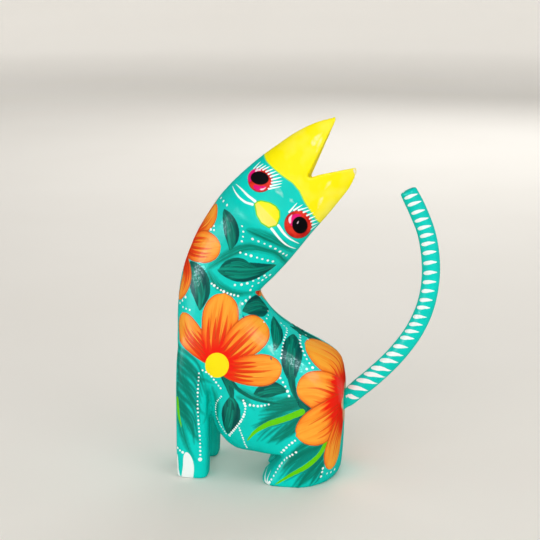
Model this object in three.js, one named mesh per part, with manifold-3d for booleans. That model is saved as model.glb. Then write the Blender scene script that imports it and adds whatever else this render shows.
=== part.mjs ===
// A carved wooden cat that sits upright in profile. Its neck leans back over its body, its face is turned
// to one side, and a bent stick is let into the rump as its tail.
// Millimetres, +Z up. X runs from the chest (-X) to the rump (+X), and the face looks along -Y.
import * as THREE from "three";
import { mergeVertices } from "three/addons/utils/BufferGeometryUtils.js";
import Module from "manifold-3d";

const wasm = await Module();
wasm.setup();

// Driving dimensions
const CENTRE = { x: 21.05, y: 0 }; // middle of the figure with its tail, as seen from above
const TAIL_ANGLE = 45; // degrees above level at which the tail leaves the rump
const TAIL_ROOT = { x: 36.6, y: 0, z: 31.2 }; // where the tail's middle line meets the rump
const SOCKET_RADIUS = 3.1; // drilled hole that holds the tail's end
const SOCKET_DEPTH = 6;
const SOCKET_RIM = 4.3; // radius of the countersunk mouth of the hole
const RIM_DEPTH = 1.2;
const PEG_RADIUS = 2.7; // the tail's whittled end, inside the hole
const PEG_LENGTH = 5.2;
const SHOULDER = 2.4; // where the peg has grown to the full stick, past the rump
const TAIL_RADIUS = 3.8;
const TAIL_SWELL = 3.95; // a little thicker in the lower third
const TAIL_TIP_RADIUS = 3.55;

// Numbers of faces
const BODY_RINGS = 69;
const BODY_SIDES = 40;
const LEG_RINGS = 16;
const LEG_SIDES = 28;
const TAIL_RINGS = 34;
const TAIL_SIDES = 18;

const COLOURS = { teal: 0x00b7a8, tail: 0x00b5a2 };

// Sections of the figure from the tips of the ears down through the head, neck and trunk to the rump. Each runs
// across the profile from `front` [x, z] to `back` [x, z], and `half` is its reach towards -Y and towards +Y.
// `square` holds the exponents of its superellipse on the front and on the back half: 2 is round, 4 is boxy.
const BODY = [
  { front: [31.9, 153.4], back: [41.0, 130.8], half: [1.5, 1.5], square: [2, 2] },
  { front: [24.6, 151.3], back: [38.4, 124.8], half: [3.7, 3.7], square: [2, 2] },
  { front: [15.6, 146.8], back: [34.3, 119.2], half: [6.2, 6.0], square: [2.1, 2.1] },
  { front: [8.2, 141.6], back: [30.2, 113.9], half: [8.8, 8.2], square: [2.2, 2.2] },
  { front: [1.3, 136.5], back: [26.2, 109.1], half: [11.4, 10.2], square: [2.2, 2.2] },
  { front: [-4.8, 131.3], back: [22.6, 104.9], half: [14.2, 11.8], square: [2.2, 2.2] },
  { front: [-9.6, 126.8], back: [19.6, 101.0], half: [17.0, 13.0], square: [2.1, 2.1] },
  { front: [-13.2, 123.0], back: [17.2, 97.9], half: [19.0, 13.8], square: [2, 2] },
  { front: [-16.4, 119.2], back: [14.6, 94.6], half: [17.2, 14.2], square: [2.1, 2.1] },
  { front: [-20.0, 114.0], back: [11.8, 91.2], half: [15.2, 14.6], square: [2.3, 2.3] },
  { front: [-26.2, 103.5], back: [6.6, 85.4], half: [14.9, 14.9], square: [2.4, 2.3] },
  { front: [-31.4, 89.8], back: [2.6, 81.4], half: [15.4, 15.4], square: [2.6, 2.3] },
  { front: [-33.5, 78.2], back: [0.6, 78.6], half: [16.2, 16.2], square: [2.9, 2.3] },
  { front: [-33.8, 64.0], back: [3.2, 73.2], half: [17.6, 17.6], square: [3.4, 2.3] },
  { front: [-33.0, 52.0], back: [7.6, 68.2], half: [19.0, 19.0], square: [3.8, 2.3] },
  { front: [-27.0, 43.4], back: [14.2, 63.3], half: [19.8, 19.8], square: [3.6, 2.4] },
  { front: [-20.6, 34.0], back: [21.4, 59.4], half: [20.8, 20.8], square: [3.4, 2.4] },
  { front: [-18.2, 21.6], back: [28.6, 55.8], half: [22.2, 22.2], square: [3.2, 2.4] },
  { front: [-10.6, 12.6], back: [34.8, 50.8], half: [23.4, 23.4], square: [3.1, 2.4] },
  { front: [-1.8, 11.2], back: [36.9, 42.2], half: [24.2, 24.2], square: [3.0, 2.5] },
  { front: [4.6, 11.6], back: [37.0, 33.0], half: [24.4, 24.4], square: [3.6, 2.5] },
  { front: [11.6, 12.0], back: [36.8, 26.0], half: [24.2, 24.2], square: [4.6, 2.4] },
  { front: [8.8, 8.0], back: [36.6, 18.0], half: [24.0, 24.0], square: [4.8, 2.3] },
  { front: [4.8, 2.8], back: [36.2, 8.4], half: [23.7, 23.7], square: [4.6, 2.1] },
  { front: [3.2, 0.9], back: [35.4, 2.2], half: [23.4, 23.4], square: [5.0, 1.9] },
  { front: [3.8, 0.0], back: [34.2, 0.0], half: [22.7, 22.7], square: [5.0, 1.9] },
];

// The V cut between the ears, as an outline [x, z] on the face: its corner, the long ear's edge, then the
// short ear's. The knife went in from the face and sloped down towards the back of the head.
const NOTCH_SLOPE = 10; // degrees
const FACE_Y = -8.5; // where the outline lies
const NOTCH = [
  [20.6, 128.8],
  [31.8, 152.9],
  [33.8, 157.0],
  [60.0, 157.0],
  [60.0, 138.1],
  [38.7, 133.6],
  [26.3, 130.8],
];

// Front legs: level sections from the floor up into the chest. `x` runs from front to back, `y` is the middle
// of the leg to either side, and `half` is half its width.
const LEG = [
  { z: 0.0, x: [-32.5, -20.3], half: 5.0, square: 4.0, y: 13.1 },
  { z: 1.0, x: [-33.1, -19.8], half: 5.5, square: 4.2, y: 13.1 },
  { z: 12.0, x: [-33.2, -19.5], half: 5.6, square: 4.2, y: 13.1 },
  { z: 28.0, x: [-33.2, -19.4], half: 5.6, square: 4.0, y: 13.1 },
  { z: 42.0, x: [-33.1, -19.2], half: 5.7, square: 3.8, y: 13.0 },
  { z: 52.0, x: [-32.8, -17.0], half: 5.5, square: 3.4, y: 12.6 },
  { z: 62.0, x: [-31.8, -15.0], half: 5.0, square: 3.0, y: 11.4 },
  { z: 74.0, x: [-28.6, -14.0], half: 4.0, square: 2.6, y: 9.0 },
];

// The saw cut between the hind feet, with a round end towards the rump.
const TOE_GAP = { half: 4.2, from: -8, to: 16.5, top: 10.8 };

// The tail's middle line past its root, and its radius there.
const TAIL = [
  { x: 42.6, z: 37.2, r: TAIL_SWELL },
  { x: 48.9, z: 42.9, r: TAIL_SWELL },
  { x: 58.7, z: 53.4, r: TAIL_SWELL },
  { x: 66.2, z: 64.6, r: TAIL_RADIUS },
  { x: 70.7, z: 76.4, r: TAIL_RADIUS },
  { x: 72.2, z: 90.2, r: TAIL_RADIUS },
  { x: 70.2, z: 105.0, r: TAIL_RADIUS },
  { x: 66.2, z: 115.2, r: TAIL_RADIUS },
  { x: 62.3, z: 123.0, r: TAIL_TIP_RADIUS },
];

// A smooth run through the keys' numbers, each taken by `pick`, as a function of t from 0 to 1.
function smooth(keys, pick) {
  const points = keys.map((key) => new THREE.Vector3(...pick(key)));
  const curve = new THREE.CatmullRomCurve3(points, false, "centripetal");
  return (t) => curve.getPoint(t);
}

// A closed solid through rings of points: side faces between neighbouring rings and a fan on each end.
function skin(rings) {
  const sides = rings[0].length;
  const positions = [];
  const triangles = [];
  for (const ring of rings) for (const p of ring) positions.push(p.x, p.y, p.z);
  const at = (ring, side) => ring * sides + (side % sides);
  for (let ring = 0; ring + 1 < rings.length; ring++) {
    for (let side = 0; side < sides; side++) {
      triangles.push(at(ring, side), at(ring, side + 1), at(ring + 1, side + 1));
      triangles.push(at(ring, side), at(ring + 1, side + 1), at(ring + 1, side));
    }
  }
  const last = rings.length - 1;
  for (const [ring, turned] of [[0, true], [last, false]]) {
    const middle = new THREE.Vector3();
    for (const p of rings[ring]) middle.addScaledVector(p, 1 / sides);
    const hub = positions.length / 3;
    positions.push(middle.x, middle.y, middle.z);
    for (let side = 0; side < sides; side++) {
      const edge = [at(ring, side), at(ring, side + 1)];
      triangles.push(hub, ...(turned ? edge.reverse() : edge));
    }
  }
  const geometry = new THREE.BufferGeometry();
  geometry.setAttribute("position", new THREE.Float32BufferAttribute(positions, 3));
  geometry.setIndex(triangles);
  return geometry;
}

// The point of a superellipse of half sizes 1 at an angle, as [across, out].
function superellipse(angle, square) {
  const bend = (v) => Math.sign(v) * Math.abs(v) ** (2 / square);
  return [bend(Math.cos(angle)), bend(Math.sin(angle))];
}

function ringOf(sides, pointAt) {
  return Array.from({ length: sides }, (_, side) => pointAt((side / sides) * 2 * Math.PI));
}

function ringsOf(count, ringAt) {
  return Array.from({ length: count + 1 }, (_, ring) => ringAt(ring / count));
}

// A manifold-3d solid of a closed geometry, turned to face outwards.
function solid(geometry) {
  geometry.deleteAttribute("normal");
  geometry.deleteAttribute("uv");
  const merged = mergeVertices(geometry, 1e-4);
  const triVerts = new Uint32Array(merged.index.array);
  const vertProperties = new Float32Array(merged.attributes.position.array);
  const made = new wasm.Manifold(new wasm.Mesh({ numProp: 3, vertProperties, triVerts }));
  if (made.volume() > 0) return made;
  for (let i = 0; i < triVerts.length; i += 3) {
    [triVerts[i], triVerts[i + 1]] = [triVerts[i + 1], triVerts[i]];
  }
  return new wasm.Manifold(new wasm.Mesh({ numProp: 3, vertProperties, triVerts }));
}

function geometryOf(manifold) {
  const mesh = manifold.getMesh();
  const geometry = new THREE.BufferGeometry();
  geometry.setAttribute("position", new THREE.BufferAttribute(mesh.vertProperties, 3));
  geometry.setIndex(new THREE.BufferAttribute(mesh.triVerts, 1));
  geometry.computeVertexNormals();
  return geometry;
}

function bodySolid() {
  const front = smooth(BODY, (s) => [s.front[0], 0, s.front[1]]);
  const back = smooth(BODY, (s) => [s.back[0], 0, s.back[1]]);
  const half = smooth(BODY, (s) => [...s.half, 0]);
  const square = smooth(BODY, (s) => [...s.square, 0]);
  const rings = ringsOf(BODY_RINGS, (t) => {
    const [a, b, h, n] = [front(t), back(t), half(t), square(t)];
    return ringOf(BODY_SIDES, (angle) => {
      const [across, out] = superellipse(angle, Math.cos(angle) < 0 ? n.x : n.y);
      const p = a.clone().lerp(b, (1 + across) / 2);
      p.y = out * (out < 0 ? h.x : h.y);
      p.z = Math.max(p.z, 0);
      return p;
    });
  });
  return solid(skin(rings));
}

// A front leg on one side: -1 is near and 1 is far.
function legSolid(side) {
  const shape = smooth(LEG, (s) => [s.half, s.y, s.z]);
  const reach = smooth(LEG, (s) => [...s.x, s.square]);
  const rings = ringsOf(LEG_RINGS, (t) => {
    const [s, x] = [shape(t), reach(t)];
    return ringOf(LEG_SIDES, (angle) => {
      const [across, out] = superellipse(angle, x.z);
      const along = x.x + ((1 + across) / 2) * (x.y - x.x);
      return new THREE.Vector3(along, side * s.y + out * s.x, Math.max(s.z, 0));
    });
  });
  return solid(skin(rings));
}

function notchSolid() {
  const [x, z] = NOTCH[0];
  const outline = new THREE.Shape(NOTCH.map((p) => new THREE.Vector2(p[0] - x, p[1] - z)));
  const width = 70; // wider than the head
  const geometry = new THREE.ExtrudeGeometry(outline, { depth: width, bevelEnabled: false });
  geometry.translate(0, 0, -width / 2);
  geometry.rotateX(Math.PI / 2 - THREE.MathUtils.degToRad(NOTCH_SLOPE));
  geometry.translate(x, FACE_Y, z);
  return solid(geometry);
}

function toeGapSolid() {
  const { half, from, to, top } = TOE_GAP;
  const outline = new THREE.Shape();
  outline.moveTo(from, -half);
  outline.lineTo(to - half, -half);
  outline.absarc(to - half, 0, half, -Math.PI / 2, Math.PI / 2, false);
  outline.lineTo(from, half);
  const below = 2; // starts under the floor
  const geometry = new THREE.ExtrudeGeometry(outline, {
    depth: top + below,
    curveSegments: 8,
    bevelEnabled: false,
  });
  geometry.translate(0, 0, -below);
  return solid(geometry);
}

// A turned solid from [radius, distance] pairs along the tail's line at its root. Distance grows outwards.
function turnedAlongTail(profile, sides) {
  const points = profile.map(([radius, along]) => new THREE.Vector2(radius, along));
  const geometry = new THREE.LatheGeometry(points, sides);
  geometry.rotateZ(THREE.MathUtils.degToRad(TAIL_ANGLE - 90));
  geometry.rotateX(Math.PI / 2);
  geometry.translate(TAIL_ROOT.x, TAIL_ROOT.y, TAIL_ROOT.z);
  return geometry;
}

function socketSolid() {
  const mouth = 8; // how far the cutter stands out of the rump
  const profile = [
    [0, -SOCKET_DEPTH],
    [SOCKET_RADIUS, -SOCKET_DEPTH],
    [SOCKET_RADIUS, -RIM_DEPTH],
    [SOCKET_RIM, 0.6],
    [SOCKET_RIM, mouth],
    [0, mouth],
  ];
  return solid(turnedAlongTail(profile, 28));
}

function tailGeometry() {
  const angle = THREE.MathUtils.degToRad(TAIL_ANGLE);
  const out = (distance, r) => ({
    x: TAIL_ROOT.x + Math.cos(angle) * distance,
    z: TAIL_ROOT.z + Math.sin(angle) * distance,
    r,
  });
  const peg = [out(-PEG_LENGTH, PEG_RADIUS), out(-RIM_DEPTH, PEG_RADIUS), out(SHOULDER, TAIL_TIP_RADIUS)];
  const keys = [...peg, ...TAIL];
  const line = smooth(keys, (k) => [k.x, TAIL_ROOT.y, k.z]);
  const radius = smooth(keys, (k) => [k.r, 0, 0]);
  const step = 1e-3;
  const rings = ringsOf(TAIL_RINGS, (t) => {
    const ahead = line(Math.min(1, t + step)).sub(line(Math.max(0, t - step))).normalize();
    const across = new THREE.Vector3(0, 1, 0).cross(ahead);
    return ringOf(TAIL_SIDES, (turn) => {
      const r = radius(t).x;
      const p = line(t).addScaledVector(across, Math.cos(turn) * r);
      return p.add(new THREE.Vector3(0, Math.sin(turn) * r, 0));
    });
  });
  // The sawn end of the stick is rounded off with one smaller ring.
  const end = rings[rings.length - 1];
  const middle = line(1);
  const ahead = line(1).sub(line(1 - step)).normalize();
  const rounding = 0.9; // how far the last ring stands out
  const inward = 0.28; // and how much smaller it is, as a share of the radius
  rings.push(end.map((p) => p.clone().lerp(middle, inward).addScaledVector(ahead, rounding)));
  return skin(rings);
}

function mesh(name, geometry, colour) {
  const material = new THREE.MeshStandardMaterial({ color: colour, roughness: 0.35, metalness: 0 });
  const made = new THREE.Mesh(geometry, material);
  made.name = name;
  return made;
}

const block = bodySolid().add(legSolid(-1)).add(legSolid(1));
const cuts = [notchSolid(), toeGapSolid(), socketSolid()];
const cat = geometryOf(cuts.reduce((rest, cut) => rest.subtract(cut), block));
const tail = geometryOf(solid(tailGeometry()));

const figure = new THREE.Group();
figure.add(mesh("cat", cat, COLOURS.teal), mesh("tail", tail, COLOURS.tail));
figure.position.set(-CENTRE.x, -CENTRE.y, 0);

export default figure;
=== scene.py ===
import math

import bmesh
import bpy
import numpy as np
from mathutils import Euler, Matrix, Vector
from mathutils.bvhtree import BVHTree


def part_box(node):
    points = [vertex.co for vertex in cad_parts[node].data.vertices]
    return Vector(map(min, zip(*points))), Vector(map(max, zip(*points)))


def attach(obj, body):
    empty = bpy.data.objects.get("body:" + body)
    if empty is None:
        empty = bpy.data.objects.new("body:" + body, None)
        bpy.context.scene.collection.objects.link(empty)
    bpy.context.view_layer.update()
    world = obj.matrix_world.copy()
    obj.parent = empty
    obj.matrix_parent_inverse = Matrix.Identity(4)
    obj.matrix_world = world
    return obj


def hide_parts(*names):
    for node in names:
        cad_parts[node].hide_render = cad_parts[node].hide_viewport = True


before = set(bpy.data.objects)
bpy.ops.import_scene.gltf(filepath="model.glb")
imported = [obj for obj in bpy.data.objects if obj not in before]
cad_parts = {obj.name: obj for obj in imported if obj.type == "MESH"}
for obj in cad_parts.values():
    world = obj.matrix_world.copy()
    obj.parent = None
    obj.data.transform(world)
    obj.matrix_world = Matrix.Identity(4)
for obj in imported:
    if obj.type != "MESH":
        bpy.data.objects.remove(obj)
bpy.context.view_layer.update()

# A carved and painted wooden cat with a bent stick as its tail. The CAD gives both shapes. Here the block
# gets an even skin of small faces, and the paint is laid on it stroke by stroke: each stroke is a line of
# points dropped on the wood. For broad strokes every vertex keeps how far it lies from the edge of the
# nearest one of each kind of paint. For thin ones every face keeps its own stretch of the nearest one. The
# materials turn both into crisp edges. Lengths in this script are millimetres, apart from the meshes, lights
# and camera, which Blender takes in metres.

MM = 0.001
ORDER = np.random.default_rng(7)  # draws of every small unevenness, in one fixed order

# The photograph's camera: focal length in pixels of its 540 pixel frame, and where the camera stood.
FRAME_PIXELS = 540
MIDDLE = FRAME_PIXELS / 2
FOCAL_PIXELS = 1531.0
SENSOR = 36.0
CAMERA_AT = (70.75, -618.8, 243.8)
CAMERA_TILT = 76.0
CAMERA_TURN = 8.0
CAMERA_AIM = Euler((math.radians(CAMERA_TILT), 0, math.radians(CAMERA_TURN)))
CAMERA_AXES = np.array(CAMERA_AIM.to_matrix())
PIXEL = 0.435  # millimetres that one pixel covers at the cat

# The cat's skin
SKIN_STEP = 0.625  # spacing of its faces
EASING_PASSES = 10  # rounds of smoothing that take out the flats of the CAD solid
EASING = (0.55, -0.57)  # how far a round moves each vertex to the mean of its neighbours, and then away
SOLE = (0.2, 1.2)  # smoothing is held back below the first height and returns over the second
WELD = 1e-6  # metres within which loose corners are joined

# The tail's middle line from the CAD, (x, z, radius), past the whittled peg at its root
TAIL_RINGS = 330
TAIL_SIDES = 44
CENTRE_X = 21.05
TAIL_ANGLE = math.radians(45.0)
TAIL_ROOT = (36.6, 31.2)
PEG_RADIUS = 2.7
PEG_LENGTH = 5.2
RIM_DEPTH = 1.2
SHOULDER = 2.4
SHOULDER_RADIUS = 3.55
TAIL_LINE = [
    (42.6, 37.2, 3.95), (48.9, 42.9, 3.95), (58.7, 53.4, 3.95), (66.2, 64.6, 3.8), (70.7, 76.4, 3.8),
    (72.2, 90.2, 3.8), (70.2, 105.0, 3.8), (66.2, 115.2, 3.8), (62.3, 123.0, 3.55),
]
TAIL_END = [(0.3, 0.02), (0.55, 0.09), (0.75, 0.24), (0.86, 0.5), (0.88, 0.8)]  # how far on, share drawn in
KNOT_DEPTH = 0.012  # share of the radius
KNOT_PACE = 31  # how quickly knots follow one another
KNOTS_FROM = 0.12  # share of the tail's length

# Strokes
FAR = 9.0  # distance kept where no stroke of a kind is near
NOWHERE = 1000.0  # where the stretch of a thin stroke lies for a face that has none
MARGIN = 2.5  # how far outside a stroke its distances are still worked out
NOTED = 0.6  # how far outside a stroke the places along and across it are kept
THIN_LAYERS = 2  # neighbouring thin strokes take turns, so that those on one layer never crowd a face
SAME_SIDE = -0.3  # least product of two normals for them to count as on the same side of the wood
SEEN = 0.15  # most that a normal may turn from the photograph's side for paint that is placed in its plane
TINY = 1e-9  # length that stands for none where something is divided by it
OUTSIDE = 300.0  # where rays towards the front and rear start
UNDER_HEAD = 92.0  # height from which rays fall on the back, below the head


# Camera

def place_camera():
    data = bpy.data.cameras.new("camera")
    data.sensor_width = SENSOR
    data.lens = SENSOR * FOCAL_PIXELS / FRAME_PIXELS
    camera = bpy.data.objects.new("camera", data)
    camera.location = [c * MM for c in CAMERA_AT]
    camera.rotation_euler = CAMERA_AIM
    bpy.context.scene.collection.objects.link(camera)
    bpy.context.scene.camera = camera


# Rays of the views that strokes are placed in

def photo_rays(pixels):
    """Start and direction of the ray through each pixel (u, v) of the photograph."""
    for u, v in pixels:
        seen = np.array([(u - MIDDLE) / FOCAL_PIXELS, (MIDDLE - v) / FOCAL_PIXELS, -1.0])
        yield np.array(CAMERA_AT), CAMERA_AXES @ seen


def level_rays(places, towards):
    """Rays along an axis, through places (y, z) seen from the front or rear, or (x, y) of the back."""
    for a, b in places:
        if towards == "back":
            yield np.array([a, b, UNDER_HEAD]), np.array([0, 0, -1.0])
        else:
            way = 1.0 if towards == "front" else -1.0
            yield np.array([-way * OUTSIDE, a, b]), np.array([way, 0, 0])


def photo_place(points):
    """Pixels of the photograph at which the camera sees points given in millimetres."""
    seen = (points - np.array(CAMERA_AT)) @ CAMERA_AXES
    u = MIDDLE - FOCAL_PIXELS * seen[:, 0] / seen[:, 2]
    v = MIDDLE + FOCAL_PIXELS * seen[:, 1] / seen[:, 2]
    return np.stack([u, v], 1)


# Widths of strokes along their length, from 0 at the start to 1 at the end, as shares of the widest place

def petal_width(t, root=0.34, belly=0.68):
    """A sine rise from a narrow root to the belly, then a quarter of an ellipse to the round tip."""
    rise = root + (1 - root) * np.sin(np.pi / 2 * np.clip(t / belly, 0, 1))
    fall = np.sqrt(np.clip(1 - np.clip((t - belly) / (1 - belly), 0, 1) ** 2, 0, 1))
    return np.where(t < belly, rise, fall)


def leaf_width(t, belly=0.45):
    """A sine rise to the belly and a slower fall to a point."""
    rise = np.sin(np.pi / 2 * np.clip(t / belly, 0, 1)) ** 0.8
    fall = np.cos(np.pi / 2 * np.clip((t - belly) / (1 - belly), 0, 1)) ** 0.9
    return np.where(t < belly, rise, fall)


def lime_width(t, full=0.4):
    """A round end that thins to a point over the last three fifths."""
    return np.where(t < full, 1.0, np.clip((1 - t) / (1 - full), 0, 1) ** 0.6)


def taper_width(t):
    """Full at the start, thinning to a point at the end."""
    return (1 - t) ** 0.6


def blade_width(t):
    """Nearly full for most of its length, rounded off at the end."""
    return np.sqrt(np.clip(1 - t**3, 0, 1))


def flick_width(t):
    """A pointed start and a longer pointed end, widest at a third."""
    return np.sin(np.pi * t ** 0.65) ** 0.8


def even_width(t):
    return np.ones_like(t)


def read(items, name, size=3, kind=float):
    """One property of every vertex, edge or face of a mesh, as rows."""
    flat = np.empty(len(items) * size, kind)
    items.foreach_get(name, flat)
    return flat.reshape(-1, size)


class Canvas:
    """A painted surface: its vertices and faces in millimetres, and what each kind of paint keeps on them."""

    def __init__(self, piece):
        self.mesh = piece.data
        self.points = read(self.mesh.vertices, "co") / MM
        self.normals = read(self.mesh.vertices, "normal")
        self.face_points = read(self.mesh.polygons, "center") / MM
        self.face_normals = read(self.mesh.polygons, "normal")
        self.tree = BVHTree.FromPolygons(
            [Vector(p) for p in self.points], [tuple(f.vertices) for f in self.mesh.polygons]
        )
        self.pixels = photo_place(self.points)
        self.layers = {}
        self.thin = {}
        self.laid = 0

    def layer(self, name, start=FAR):
        if name not in self.layers:
            self.layers[name] = np.full(len(self.points), float(start))
        return self.layers[name]

    def hit(self, start, way):
        """Where a ray first meets the surface, or the place nearest to it where it just misses."""
        place, *_ = self.tree.ray_cast(Vector(start), Vector(way).normalized())
        if place is None:
            to_middle = np.dot(self.points.mean(0) - start, way) / np.dot(way, way)
            place, *_ = self.tree.find_nearest(Vector(start + to_middle * way))
        return np.array(place)

    def near(self, *pixels):
        return [self.hit(*ray) for ray in photo_rays(pixels)]

    def far(self, *pixels):
        """The places on the far side that mirror those that the photograph shows at these pixels."""
        return [place * (1, -1, 1) for place in self.near(*pixels)]

    def side(self, towards, *places):
        return [self.hit(*ray) for ray in level_rays(places, towards)]

    def spine(self, points, step=0.8):
        """A smooth run through points, dropped on the surface: Catmull-Rom between them, at even steps."""
        run = points = np.array(points, float)
        if len(points) > 1:
            ends = np.vstack([2 * points[0] - points[1], points, 2 * points[-1] - points[-2]])
            run = []
            for a, b, c, d in zip(ends, ends[1:], ends[2:], ends[3:]):
                t = np.linspace(0, 1, max(2, int(np.linalg.norm(c - b) / step) + 1), endpoint=False)[:, None]
                square = 2 * a - 5 * b + 4 * c - d
                cube = 3 * b - a - 3 * c + d
                run.append(0.5 * (2 * b + (c - a) * t + square * t**2 + cube * t**3))
            run = np.vstack(run + [points[-1:]])
        dropped = [self.tree.find_nearest(Vector(p)) for p in run]
        return np.array([d[0] for d in dropped]), np.array([d[1] for d in dropped])

    def measure(self, points, normals, reach, on_faces=False):
        """What lies within reach of a spine: numbers, distance, share along it, side, nearest stretch."""
        ours, facings = (self.face_points, self.face_normals) if on_faces else (self.points, self.normals)
        low, high = points.min(0) - reach, points.max(0) + reach
        picked = np.flatnonzero(((ours > low) & (ours < high)).all(1))
        here = ours[picked]
        if len(points) == 1:
            points, normals = np.vstack([points, points]), np.vstack([normals, normals])
        run = np.diff(points, axis=0)
        lengths = np.maximum(np.linalg.norm(run, axis=1), TINY)
        starts = np.concatenate([[0], np.cumsum(lengths)])
        off = here[:, None] - points[None, :-1]
        share = np.clip((off * run).sum(2) / (lengths**2), 0, 1)
        off -= share[..., None] * run
        nearest = (off**2).sum(2).argmin(1)
        rows = np.arange(len(here))
        off = off[rows, nearest]
        share = share[rows, nearest]
        along = (starts[nearest] + share * lengths[nearest]) / starts[-1]
        across = np.cross(normals[nearest], run[nearest] / lengths[nearest][:, None])
        distance = np.linalg.norm(off, axis=1)
        side = np.where((off * across).sum(1) < 0, -1.0, 1.0)
        facing = ((facings[picked] * normals[nearest]).sum(1) > SAME_SIDE) & (distance < reach)
        return picked[facing], distance[facing], along[facing], (side * distance)[facing], nearest[facing]

    def stroke(self, kind, points, width, profile=even_width, notes=False):
        """Lays one broad stroke: its distance is that from the spine less the half width there."""
        spine = self.spine(points)
        picked, distance, along, side, _ = self.measure(*spine, width / 2 + MARGIN)
        edge = distance - width / 2 * profile(along)
        layer = self.layer(kind)
        if notes:
            on_top = edge < NOTED
            self.layer(kind + " along", 0)[picked[on_top]] = (along * spine_length(spine))[on_top]
            self.layer(kind + " across", 0)[picked[on_top]] = side[on_top]
        layer[picked] = np.minimum(layer[picked], edge)
        return spine, picked, edge, along, side

    def thin_layer(self, kind, number):
        """Each face's own stretch of the nearest thin stroke: its two ends, and the half widths there."""
        name = f"{kind} {number}"
        if name not in self.thin:
            count = len(self.face_points)
            self.thin[name] = {
                "edge": np.full(count, FAR),
                "from": np.full((count, 3), NOWHERE),
                "to": np.full((count, 3), NOWHERE),
                "half": np.zeros((count, 3)),
            }
        return self.thin[name]

    def line(self, kind, points, width, profile=even_width, step=0.8):
        """Lays one thin stroke or, at a single point, a round dot. Its stretches overlap inside it."""
        points, normals = self.spine(points, step)
        half = width / 2 * profile(np.linspace(0, 1, len(points)))
        reach = width / 2 + SKIN_STEP
        picked, distance, along, _, nearest = self.measure(points, normals, reach, on_faces=True)
        if len(points) == 1:
            points, half = np.vstack([points, points]), np.array([width, width]) / 2
        run = np.diff(points, axis=0)
        longer = SKIN_STEP / np.maximum(np.linalg.norm(run, axis=1), TINY)
        before = longer * (np.arange(len(run)) > 0)
        after = longer * (np.arange(len(run)) < len(run) - 1)
        widen = np.diff(half)
        starts, ends = points[:-1] - run * before[:, None], points[1:] + run * after[:, None]
        halves = np.stack([half[:-1] - widen * before, half[1:] + widen * after, 0 * widen], 1)
        layer = self.thin_layer(kind, self.laid % THIN_LAYERS)
        self.laid += 1
        edge = distance - np.interp(along, np.linspace(0, 1, len(half)), half)
        better = edge < layer["edge"][picked]
        picked, nearest = picked[better], nearest[better]
        layer["edge"][picked] = edge[better]
        layer["from"][picked] = starts[nearest]
        layer["to"][picked] = ends[nearest]
        layer["half"][picked] = np.maximum(halves[nearest], 0)

    def wipe(self, kind, faces):
        """Takes the thin strokes of a kind off these faces."""
        for number in range(THIN_LAYERS):
            layer = self.thin_layer(kind, number)
            layer["edge"][faces] = FAR
            layer["from"][faces] = layer["to"][faces] = NOWHERE

    def ellipse(self, kind, centre, radii, turn=0.0):
        """Signed distance, in the photograph's plane, to an ellipse on the side that it shows."""
        u, v = (self.pixels - np.array(centre)).T
        c, s = math.cos(math.radians(turn)), math.sin(math.radians(turn))
        across = np.stack([u * c + v * s, v * c - u * s], 1) / np.array(radii)
        edge = (np.linalg.norm(across, axis=1) - 1) * min(radii) * PIXEL
        layer = self.layer(kind)
        np.minimum(layer, np.where(self.normals[:, 1] < SEEN, edge, FAR), out=layer)

    def save(self):
        for name, values in self.layers.items():
            attribute = self.mesh.attributes.new(name, "FLOAT", "POINT")
            attribute.data.foreach_set("value", values.astype(np.float32))
        for name, layer in self.thin.items():
            for part, scale in (("from", MM), ("to", MM), ("half", 1)):
                attribute = self.mesh.attributes.new(f"{name} {part}", "FLOAT_VECTOR", "FACE")
                attribute.data.foreach_set("vector", (layer[part] * scale).astype(np.float32).ravel())


def spine_length(spine):
    return np.linalg.norm(np.diff(spine[0], axis=0), axis=1).sum()


def lay(how, kind, view, marks, profile, **settings):
    """Lays marks, given in pixels of a view, by one of the canvas's two ways: stroke or line."""
    for width, *points in marks:
        how(kind, view(*points), width * PIXEL, profile, **settings)


# Surfaces

def new_piece(name, vertices, faces):
    mesh = bpy.data.meshes.new(name)
    mesh.from_pydata((vertices * MM).tolist(), [], faces)
    mesh.update()
    return link_piece(name, mesh)


def link_piece(name, mesh):
    piece = bpy.data.objects.new(name, mesh)
    bpy.context.scene.collection.objects.link(piece)
    mesh.polygons.foreach_set("use_smooth", [True] * len(mesh.polygons))
    return piece


def ring_faces(rings, sides):
    """Four-cornered faces between neighbouring closed rings of vertices, and then a lid on the first ring."""
    ring, side = np.meshgrid(np.arange(rings - 1), np.arange(sides), indexing="ij")
    corner = ring * sides + side
    beyond = ring * sides + (side + 1) % sides
    faces = np.stack([corner, beyond, beyond + sides, corner + sides], 2).reshape(-1, 4).tolist()
    return faces + [list(range(sides - 1, -1, -1))]


def mend(mesh, change):
    """Makes one change to a mesh by Blender's mesh editing."""
    shape = bmesh.new()
    shape.from_mesh(mesh)
    change(shape)
    shape.to_mesh(mesh)
    shape.free()


def held_in(points, node):
    """Points kept inside the box of a CAD node."""
    low, high = [np.array(corner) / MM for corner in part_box(node)]
    return np.clip(points, low, high)


def even_skin(mesh):
    """The same solid with a skin of small even faces."""
    holder = bpy.data.objects.new("blank", mesh)
    bpy.context.scene.collection.objects.link(holder)
    remesh = holder.modifiers.new("skin", "REMESH")
    remesh.mode = "VOXEL"
    remesh.voxel_size = SKIN_STEP * MM
    ready = holder.evaluated_get(bpy.context.evaluated_depsgraph_get())
    skin = bpy.data.meshes.new_from_object(ready)
    bpy.data.objects.remove(holder)
    return skin


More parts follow.
